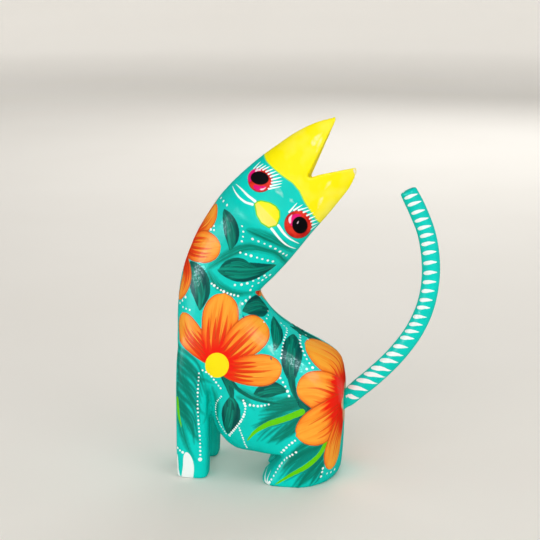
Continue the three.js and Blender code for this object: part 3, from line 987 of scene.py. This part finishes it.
FAR_DOT_LINES = {
    "round the far flower": (7, (214, 285), (200, 292), (190, 303)),
    "over the far flower": (6, (226, 282), (228, 270), (232, 258)),
    "beside the neck leaf": (6, (252, 284), (256, 270), (262, 258)),
    "jaw": (8, (244, 236), (256, 240), (268, 236), (276, 226)),
    "nape": (6, (293, 204), (300, 214), (304, 226)),
    "brow": (6, (245, 200), (248, 188), (254, 176)),
    "flank": (5, (280, 362), (288, 356), (297, 350)),
    "belly row": (9, (246, 388), (249, 402), (247, 416), (241, 428)),
    "under the flower": (6, (196, 372), (206, 380), (218, 384)),
    "shoulder row": (8, (186, 296), (185, 282), (189, 268), (196, 256)),
}
# In millimetres: seen from the front, (across, height), and from above, (along, across)
FRONT_DOT_LINES = {
    "chest, middle": (7, (0, 74), (1, 66), (1, 58)),
    "chest, far": (7, (12, 76), (14, 68), (14, 60)),
    "brow": (4, (0, 128), (1, 134), (2, 139)),
}
BACK_DOT_LINES = {
    "back, far": (9, (-8, 6), (0, 8), (9, 7)),
}


def dotted(canvas, view, line, size=DOT):
    """Evenly spaced dots along a line dropped on the wood, each a little off its place and size."""
    count, *points = line
    spine, _ = canvas.spine(view(*points), step=0.4)
    steps = np.concatenate([[0], np.cumsum(np.linalg.norm(np.diff(spine, axis=0), axis=1))])
    for at in np.linspace(0, steps[-1], count) if count > 1 else [0]:
        at = np.clip(at + ORDER.normal(0, DOT_STRAY), 0, steps[-1])
        place = np.array([np.interp(at, steps, spine[:, k]) for k in range(3)])
        canvas.line("white", [place], size * ORDER.uniform(*DOT_SHARES))


def paint_dots(canvas):
    for name, line in DOT_LINES.items():
        for view in (canvas.near, canvas.far) if name in BOTH_SIDES else (canvas.near,):
            dotted(canvas, view, line, SMALL_DOT if name in SMALL_DOT_LINES else DOT)
    for line in FAR_DOT_LINES.values():
        dotted(canvas, canvas.far, line)
    for pixel in BIG_DOTS:
        for view in (canvas.near, canvas.far):
            canvas.line("white", view(pixel), BIG_DOT)
    for towards, lines in (("front", FRONT_DOT_LINES), ("back", BACK_DOT_LINES)):
        for line in lines.values():
            dotted(canvas, lambda *places: canvas.side(towards, *places), line)


# Tail stripes, by their height in the photograph

STRIPE_HEIGHTS = [
    196.3, 203.5, 211.8, 219.8, 227.4, 235.4, 243.6, 252.6, 262.8, 272.8, 282.2, 291.2, 300.2, 307.8, 317.0,
    324.6, 331.6, 338.2, 346.8, 354.6, 361.2, 369.0, 375.2, 381.6, 388.6, 396.2,
]
# How the stripes change with their height: slope, ends left and right in half widths of the tail, and width
STRIPE_SLOPE = ([190, 300, 400], [-0.38, 0.0, 0.2])
STRIPE_LEFT = ([190, 300, 346, 375, 400], [0.8, 0.9, 1.08, 1.22, 1.15])
STRIPE_RIGHT = ([190, 300, 346, 360, 375, 400], [0.85, 0.68, 0.62, 0.98, 1.2, 1.15])
STRIPE_WIDTH = ([190, 250, 330, 370], [1.35, 1.7, 1.6, 2.0])
STRIPE_SAG = 0.4  # pixels
TIP_MARK = 0.9
TIP_MARKS = [[(403, 193), (404, 190.6), (406.4, 189)], [(407.6, 188.4), (410.6, 187), (413.4, 187)]]


def paint_tail(canvas):
    """White flicks across the near side of the stick, thick on its inner edge and thin towards the outer."""
    ring = canvas.points.reshape(-1, TAIL_SIDES, 3)
    middle = photo_place(ring.mean(1))
    reach = np.linalg.norm(ring[:, 0] - ring[:, TAIL_SIDES // 2], axis=1) / 2 / PIXEL
    order = np.argsort(middle[:TAIL_RINGS, 1])
    for height in STRIPE_HEIGHTS:
        u = np.interp(height, middle[order, 1], middle[order, 0])
        half = np.interp(height, middle[order, 1], reach[order])
        left = u - half * np.interp(height, *STRIPE_LEFT)
        right = u + half * np.interp(height, *STRIPE_RIGHT)
        drop = (right - left) * np.interp(height, *STRIPE_SLOPE) / 2
        line = [(left, height - drop), ((left + right) / 2, height - STRIPE_SAG), (right, height + drop)]
        for view in (canvas.near, canvas.far):
            canvas.line("white", view(*line), np.interp(height, *STRIPE_WIDTH), flick_width, step=0.5)
    for mark in TIP_MARKS:
        canvas.line("white", canvas.near(*mark), TIP_MARK, flick_width, step=0.3)


# Shader building

class Value:
    """A number on its way through the nodes: each sum written with it adds one Math node."""

    def __init__(self, finish, socket):
        self.finish = finish
        self.socket = socket

    def maths(self, operation, *values):
        return self.finish.value("ShaderNodeMath", {"operation": operation}, dict(enumerate(values)))

    def __add__(self, other):
        return self.maths("ADD", self, other)

    def __sub__(self, other):
        return self.maths("SUBTRACT", self, other)

    def __rsub__(self, other):
        return self.maths("SUBTRACT", other, self)

    def __mul__(self, other):
        return self.maths("MULTIPLY", self, other)

    def __truediv__(self, other):
        return self.maths("DIVIDE", self, other)

    __radd__ = __add__
    __rmul__ = __mul__

    def least(self, other):
        return self.maths("MINIMUM", self, other)

    def most(self, other):
        return self.maths("MAXIMUM", self, other)

    def size(self):
        return self.maths("ABSOLUTE", self)

    def clamped(self):
        return self.most(0).least(1)

    def between(self, low, high):
        """0 at low and 1 at high, straight between them and held outside."""
        return ((self - low) / (high - low)).clamped()


class Finish:
    """A material being made, with the colour that it has so far. node() adds any node."""

    def __init__(self, name):
        self.material = bpy.data.materials.new(name)
        self.material.use_nodes = True
        self.nodes = self.material.node_tree.nodes
        self.links = self.material.node_tree.links
        self.shader = self.nodes["Principled BSDF"]
        self.colour = None

    def feed(self, node, sockets):
        """Links a node's sockets to values, or sets them."""
        for name, value in sockets.items():
            if isinstance(value, Value):
                value = value.socket
            if isinstance(value, bpy.types.NodeSocket):
                self.links.new(value, node.inputs[name])
            else:
                node.inputs[name].default_value = value

    def node(self, kind, settings, sockets):
        made = self.nodes.new(kind)
        for name, value in settings.items():
            setattr(made, name, value)
        self.feed(made, sockets)
        return made

    def value(self, kind, settings, sockets, output=0):
        return Value(self, self.node(kind, settings, sockets).outputs[output])

    def stored(self, name):
        settings = {"attribute_type": "GEOMETRY", "attribute_name": name}
        return self.node("ShaderNodeAttribute", settings, {}).outputs

    def painted(self, layer):
        """How far inside (below 0) or outside the edge of a kind of paint the surface is, in millimetres."""
        return Value(self, self.stored(layer)["Fac"])

    def place(self):
        return self.node("ShaderNodeTexCoord", {}, {}).outputs["Object"]

    def parts(self, vector):
        """The x and y of a vector, as numbers."""
        outputs = self.node("ShaderNodeSeparateXYZ", {}, {0: vector}).outputs
        return Value(self, outputs[0]), Value(self, outputs[1])

    def vectors(self, operation, first, second):
        """One Vector Math node: its number for a dot product, and its vector otherwise."""
        sockets = {0: first, "Scale" if operation == "SCALE" else 1: second}
        made = self.node("ShaderNodeVectorMath", {"operation": operation}, sockets)
        return Value(self, made.outputs["Value"]) if operation == "DOT_PRODUCT" else made.outputs["Vector"]

    def thin(self, kind):
        """The edge of a kind of thin stroke: distance to the face's own stretch, less half its width."""
        edges = []
        for number in range(THIN_LAYERS):
            parts = [f"{kind} {number} {part}" for part in ("from", "to", "half")]
            start, end, half = [self.stored(part)["Vector"] for part in parts]
            run = self.vectors("SUBTRACT", end, start)
            off = self.vectors("SUBTRACT", self.place(), start)
            share = (self.vectors("DOT_PRODUCT", off, run) / self.vectors("DOT_PRODUCT", run, run)).clamped()
            away = self.vectors("SUBTRACT", off, self.vectors("SCALE", run, share))
            distance = self.value("ShaderNodeVectorMath", {"operation": "LENGTH"}, {0: away}, "Value")
            narrow, wide = self.parts(half)
            edges.append(distance / MM - (narrow + share * (wide - narrow)))
        return edges[0].least(edges[1])

    def noise(self, scale, detail=2.0, roughness=0.5, vector=None, stretch=None):
        """Noise with scale features to the metre on the object's own coordinates, or on those given."""
        vector = self.place() if vector is None else vector
        if stretch is not None:
            vector = self.node("ShaderNodeMapping", {}, {"Vector": vector, "Scale": stretch}).outputs[0]
        sockets = {"Vector": vector, "Scale": scale, "Detail": detail, "Roughness": roughness}
        return self.value("ShaderNodeTexNoise", {}, sockets)

    def flow(self, across, along):
        """Noise drawn out along strokes, from two numbers that grow across and along them."""
        lengths = self.node("ShaderNodeCombineXYZ", {}, {0: across, 1: along}).outputs[0]
        return self.noise(1.0, 3, 0.6, lengths)

    def blend(self, amount, below, above):
        """The colour above over the colour below, by amount."""
        return self.node("ShaderNodeMix", {"data_type": "RGBA"}, {0: amount, 6: below, 7: above}).outputs[2]

    def crisp(self, edge, soft, wobble=None):
        """1 inside an edge and 0 outside it, over a soft width. The edge may be named by its paint."""
        edge = self.painted(edge) if isinstance(edge, str) else edge
        edge = edge if wobble is None else edge + wobble
        return (0.5 - edge / soft).clamped()

    def cover(self, amount, paint):
        """Lays paint over the colour so far, by amount."""
        self.colour = self.blend(amount, self.colour, paint)

    def coat(self, edge, soft, paint, wobble=None):
        """Lays paint over the colour so far inside an edge."""
        self.cover(self.crisp(edge, soft, wobble), paint)


def srgb(red, green, blue):
    """A colour as a screen shows it, 0 to 255, turned into the light that Blender counts in."""
    parts = [c / 255 for c in (red, green, blue)]
    return tuple(c / 12.92 if c <= 0.04045 else ((c + 0.055) / 1.055) ** 2.4 for c in parts) + (1.0,)


TEAL_BRIGHT = srgb(0, 222, 210)
TEAL_MID = srgb(0, 198, 184)
TEAL_BAND = srgb(0, 158, 138)
TEAL_DARK = srgb(0, 122, 104)
LEAF_DARK = srgb(0, 80, 78)
LEAF_MID = srgb(0, 128, 106)
LEAF_VEIN = srgb(0, 172, 146)
LIME = srgb(102, 213, 6)
LIME_LIGHT = srgb(160, 232, 40)
EAR_YELLOW = srgb(255, 240, 0)
EAR_PALE = srgb(255, 243, 90)
NOSE_PAINTED_HIGHLIGHT = srgb(255, 236, 96)
HEART_YELLOW = srgb(255, 226, 20)
PETAL_LIGHT = srgb(255, 174, 56)
PETAL_ORANGE = srgb(255, 128, 18)
PETAL_DEEP = srgb(252, 104, 10)
PETAL_RED = srgb(246, 26, 0)
PETAL_RIM = srgb(206, 76, 6)
WEDGE_RED = srgb(240, 62, 4)
HAIR_BROWN = srgb(206, 58, 0)
INK = srgb(30, 74, 120)
WORN_TIP = srgb(236, 226, 206)
WHITE = srgb(246, 255, 255)
EYE_RED = srgb(232, 52, 34)
EYE_DARK = srgb(196, 20, 16)
EYE_RIM = srgb(110, 30, 40)
MAGENTA_PAINT = srgb(236, 10, 120)
GLEAM_PINK = srgb(255, 214, 236)
BLACK = srgb(16, 12, 16)
BARE_WOOD = srgb(226, 190, 150)
FLOOR_SHADES = (srgb(238, 234, 227), srgb(244, 241, 235))
FLOOR_GLOW = srgb(236, 233, 228)
GLOW_STARTS, GLOW_ENDS = 0.3, 3.2  # square metres, as the squared distance from the middle of the floor
GLOW = 0.42
DULL = 0.8  # roughness of the floor
WAVER = 0.35  # share of its noise that an edge wanders on the cat, in millimetres
TAIL_WAVER = 0.3
VARNISH_ROUGHNESS = 0.2
PAINT_ROUGHNESS = 0.36
PAINT_SHINE = 0.1
BRUSH_RELIEF = 0.0004
BRUSH_STRENGTH = 0.22


def varnish(finish, brushed, thick=0.5):
    """Closes a painted material: faint brush marks and grain, and a varnish that shines in specks."""
    grain = finish.noise(900, 3, 0.6, stretch=(1.0, 1.0, 0.25))
    orange_peel = finish.noise(1500)
    height = grain * 0.5 + orange_peel * 0.35 + brushed * 0.5
    relief = {"Strength": BRUSH_STRENGTH, "Distance": BRUSH_RELIEF, "Height": height}
    specks = finish.noise(1300, 3, 0.7).between(0.47, 0.62)
    patches = finish.noise(70).between(0.3, 0.6)
    finish.feed(finish.shader, {
        "Base Color": finish.colour,
        "Coat Weight": 0.04 + specks * thick * patches,
        "Normal": finish.node("ShaderNodeBump", {}, relief).outputs[0],
        "Roughness": PAINT_ROUGHNESS,
        "Coat Roughness": VARNISH_ROUGHNESS,
        "Specular IOR Level": PAINT_SHINE,
    })
    return finish.material


def waver(finish):
    """How a painted edge wanders, either way."""
    return finish.noise(700) - 0.5


def teal_ground(finish):
    """Turquoise paint in two tones, laid in broad wet strokes."""
    cloudy = finish.noise(55, 3, 0.55)
    streaky = finish.noise(260, 3, 0.6, stretch=(1.0, 0.3, 0.35))
    finish.colour = finish.blend((cloudy * 1.3 + streaky * 0.5 - 0.45).clamped(), TEAL_BRIGHT, TEAL_MID)


def streaks_of(finish, layer, fine, slow):
    """Fine streaks along the strokes of a kind of paint, from its own along and across lengths."""
    return finish.flow(finish.painted(layer + " across") * fine, finish.painted(layer + " along") * slow)


def cat_paint():
    finish = Finish("painted_cat_finish")
    wobble = waver(finish) * WAVER
    teal_ground(finish)
    streaks = brushwork_paint(finish, wobble)
    finish.coat("petal", 0.25, petal_paint(finish), wobble)
    finish.coat("heart", 0.2, finish.blend(finish.noise(120), HEART_YELLOW, EAR_YELLOW), wobble * 0.5)
    face_paint(finish, wobble)
    # Painted highlights: pale strokes laid over the paint where the varnish would shine
    sheen = finish.crisp(finish.thin("sheen"), 0.8) * finish.noise(500, 3, 0.6).between(0.3, 0.7)
    finish.cover(sheen * 0.4, WHITE)
    finish.cover(finish.crisp(finish.thin("ink"), 0.3) * 0.8, INK)
    finish.coat(finish.thin("worn"), 0.3, WORN_TIP)
    finish.coat(finish.thin("white").least(finish.painted("claw")), 0.12, WHITE, wobble * 0.3)
    finish.coat("bare", 0.5, BARE_WOOD, wobble)
    on_leaf = 1 - finish.painted("leaf").between(0.3, 2.4)
    return varnish(finish, streaks, 0.08 + on_leaf * 0.9)


def brushwork_paint(finish, wobble):
    """Bands, feathers with painted shadow lines under the lime strokes, leaves and lime strokes, streaked
    along their lengths. Gives back the streaks.
    """
    bands = streaks_of(finish, "band", 0.75, 0.05)
    band_colour = finish.blend(bands.between(0.4, 0.65), TEAL_BAND, TEAL_DARK)
    band_mask = finish.crisp(finish.painted("band") + 0.3, 1.6, wobble * 2)
    finish.cover(band_mask * bands.between(0.28, 0.46), band_colour)
    # Dark thin strokes: feathers, and painted shadow lines under the lime strokes
    feather = finish.crisp(finish.thin("feather"), 0.9, wobble * 0.5)
    finish.cover(feather * (0.6 + finish.noise(90) * 0.4), TEAL_DARK)
    leaves = streaks_of(finish, "leaf", 0.8, 0.06)
    midrib = 1 - finish.painted("leaf across").size().between(0.3, 2.4)
    leaf_colour = finish.blend((leaves + midrib * 0.12).between(0.46, 0.7), LEAF_DARK, LEAF_MID)
    leaf_colour = finish.blend(finish.crisp(finish.thin("vein"), 0.5) * 0.6, leaf_colour, LEAF_VEIN)
    finish.coat("leaf", 0.3, leaf_colour, wobble)
    finish.coat("lime", 0.2, LIME, wobble)
    return bands + leaves


def petal_paint(finish):
    """Orange petals: light towards the tip, red at the heart and in the folds, thin dark streaks and rim."""
    along = finish.painted("petal along")
    fold = finish.painted("fold")
    mottled = finish.noise(130, 3, 0.6) - 0.5
    strokes = finish.flow(finish.painted("petal across") * 4.5, along * 1.1) - 0.5
    light = (along * 0.7 + mottled * 0.5 + strokes * 2.2).between(0.0, 0.75)
    colour = finish.blend(light, PETAL_ORANGE, PETAL_LIGHT)
    colour = finish.blend((1 - fold.between(0.2, 2.2)) * 0.7, colour, PETAL_DEEP)
    wedge = finish.crisp(finish.thin("wedge"), 0.3)
    colour = finish.blend(wedge * (1 - along.between(0.5, 0.9) * 0.5), colour, WEDGE_RED)
    crease = (1 - fold.between(0.3, 2.4)) * (1 - along.between(0.3, 0.58))
    red = (1 - (finish.painted("petal reach") + strokes * 14).between(5.6, 10.0)).most(crease)
    colour = finish.blend(red, colour, PETAL_RED)
    colour = finish.blend(finish.crisp(finish.thin("hairline"), 0.2) * 0.65, colour, HAIR_BROWN)
    outer_rim = finish.crisp(0 - finish.painted("petal") - 0.45, 0.3)
    inner_rim = finish.crisp((finish.painted("fold side").size() - 0.3).most(fold - SKIN_STEP), 0.3)
    return finish.blend(outer_rim.most(inner_rim * along.between(0.3, 0.6)) * 0.75, colour, PETAL_RIM)


def face_paint(finish, wobble):
    """Yellow ears with a lime edge, a yellow nose whose lower-left facet is painted paler as a painted
    highlight, and eyes: rims, red rings, crescents and pupils.
    """
    ears = finish.painted("ears")
    finish.coat(ears - 0.35, 0.5, LIME_LIGHT, wobble * 0.5)
    ear_colour = finish.blend(finish.noise(75, roughness=0.6).between(0.45, 0.75), EAR_YELLOW, EAR_PALE)
    finish.coat(ears, 0.4, ear_colour, wobble * 0.5)
    nose = finish.painted("nose")
    finish.coat(nose - 0.2, 0.3, LIME)
    # Painted highlight: the nose's lit lower-left facet in a paler yellow
    finish.coat(nose + 0.35, 0.4, finish.blend(finish.crisp("nose ridge", 0.5), EAR_YELLOW, NOSE_PAINTED_HIGHLIGHT))
    eye = finish.painted("eye")
    finish.coat(eye - 0.1, 0.4, EYE_RIM)
    finish.coat(eye + 0.15, 0.4, finish.blend(finish.noise(180).between(0.4, 0.65), EYE_RED, EYE_DARK))
    finish.coat("magenta", 0.5, MAGENTA_PAINT)
    finish.coat("pupil", 0.25, BLACK)
    finish.coat(finish.thin("gleam"), 0.3, GLEAM_PINK)


def tail_paint():
    finish = Finish("painted_tail_finish")
    teal_ground(finish)
    finish.coat(finish.thin("white"), 0.15, WHITE, waver(finish) * TAIL_WAVER)
    return varnish(finish, finish.noise(300))


# Floor and lights, in metres

def lay_floor():
    """A wide pale disc whose rim turns up in a quarter circle: that profile carried once round the cat."""
    hub, flat, bend, rise, sides = 0.002, 2.0, 1.0, 1.5, 96
    turn = np.linspace(0, np.pi / 2, 20)
    out = np.concatenate([[hub], flat + bend * np.sin(turn), [flat + bend]])[:, None]
    height = np.concatenate([[0], bend * (1 - np.cos(turn)), [rise]])[:, None]
    around = np.linspace(0, 2 * np.pi, sides, endpoint=False)
    rings = np.stack([out * np.cos(around), out * np.sin(around), height + 0 * around], 2)
    floor = new_piece("floor", rings.reshape(-1, 3) / MM, ring_faces(len(rings), sides))
    finish = Finish("pale_floor")
    x, y = finish.parts(finish.place())
    glow = (x * x + y * y).between(GLOW_STARTS, GLOW_ENDS)
    finish.feed(finish.shader, {
        "Base Color": finish.blend(finish.noise(6), *FLOOR_SHADES),
        "Roughness": DULL,
        "Specular IOR Level": 0,
        "Emission Color": finish.blend(glow, (0, 0, 0, 1), FLOOR_GLOW),
        "Emission Strength": GLOW,
    })
    floor.data.materials.append(finish.material)
    floor.visible_glossy = False


# Place, size, power in watts, and what the light is for: broad soft lights only show the paint, and two
# softboxes only shine in the varnish, which mirrors a cool sky
LIGHTS = {
    "front": ((-0.3, -1.15, 0.65), 1.2, 6.0, "paint"),
    "overhead": ((0, -0.1, 1.4), 1.2, 3.9, "paint"),
    "right": ((0.9, -0.7, 0.35), 0.9, 3.2, "paint"),
    "rear": ((0.1, 0.9, 0.6), 0.8, 3.4, "paint"),
    "left softbox": ((-0.7, -0.55, 0.2), 0.5, 8, "varnish"),
    "high softbox": ((0.42, -0.62, 0.74), 0.42, 8, "varnish"),
}
LIT_PLACE = (0, 0, 0.08)
SHEEN_BLUE = (0.7, 0.93, 1.0)
WARM_AIR = (1, 0.99, 0.97, 1)
AIR = 0.24


def light_studio():
    for name, (at, size, power, lights) in LIGHTS.items():
        data = bpy.data.lights.new(name, "AREA")
        data.shape = "DISK"
        data.size = size
        data.energy = power
        if lights == "varnish":
            data.color = SHEEN_BLUE
        light = bpy.data.objects.new(name, data)
        light.visible_glossy = lights == "varnish"
        light.visible_diffuse = lights == "paint"
        light.location = at
        light.rotation_euler = (Vector(LIT_PLACE) - Vector(at)).to_track_quat("-Z", "Y").to_euler()
        bpy.context.scene.collection.objects.link(light)
    world = bpy.data.worlds.new("studio")
    world.use_nodes = True
    bpy.context.scene.world = world
    world.node_tree.nodes["Background"].inputs["Color"].default_value = WARM_AIR
    world.node_tree.nodes["Background"].inputs["Strength"].default_value = AIR
    world.cycles_visibility.glossy = False
    bpy.context.scene.view_settings.view_transform = "Standard"


def dress(piece, node, material):
    piece.data.materials.clear()
    piece.data.materials.append(material)
    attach(piece, "root")
    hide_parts(node)


place_camera()
cat = carve_cat()
tail = bend_tail()

canvas = Canvas(cat)
paint_flowers(canvas)
paint_leaves(canvas)
paint_brushwork(canvas)
paint_face(canvas)
paint_dots(canvas)
paint_bare_ring(canvas)
canvas.save()

stick = Canvas(tail)
paint_tail(stick)
stick.save()

dress(cat, "cat", cat_paint())
dress(tail, "tail", tail_paint())
lay_floor()
light_studio()
